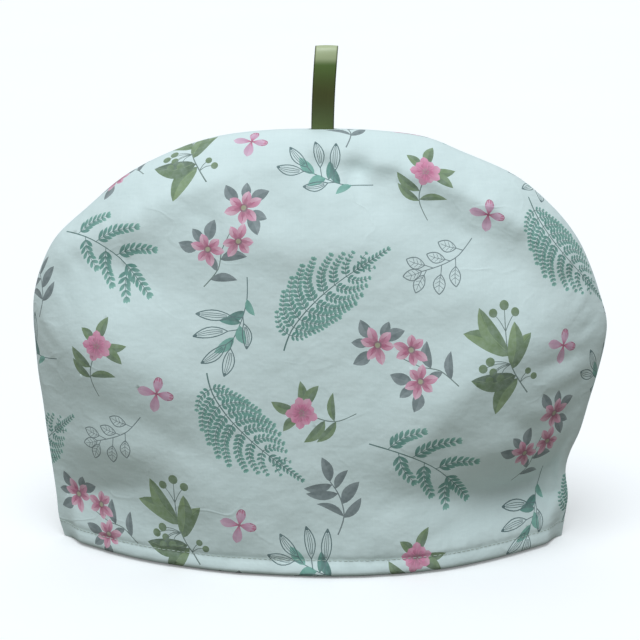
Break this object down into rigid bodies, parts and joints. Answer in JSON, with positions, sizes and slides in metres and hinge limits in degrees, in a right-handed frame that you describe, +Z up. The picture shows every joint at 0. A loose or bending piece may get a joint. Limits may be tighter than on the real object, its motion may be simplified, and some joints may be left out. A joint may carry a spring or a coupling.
{
  "type": "tea cosy",
  "caption": "Padded cotton tea cosy with a domed seam, a topstitched hem that it stands on, and a ribbon loop at the top; flower, fern and berry print.",
  "frame": {"origin": "middle of the object's footprint, on the surface that the hem stands on", "axes": "+Z up towards the ribbon loop, X along the width in the seam plane, -Y out of the front panel"},
  "size_m": [0.3293, 0.1341, 0.289],
  "materials": {
    "printed_cotton": "plain-weave cotton, off-white with a faint green tint, printed with pink flowers, teal ferns and green leaves",
    "satin_ribbon": "olive green satin with a soft sheen"
  },
  "bodies": {
    "root": {"panel_front": "printed_cotton", "panel_back": "printed_cotton", "ribbon_loop": "satin_ribbon"}
  },
  "joints": []
}
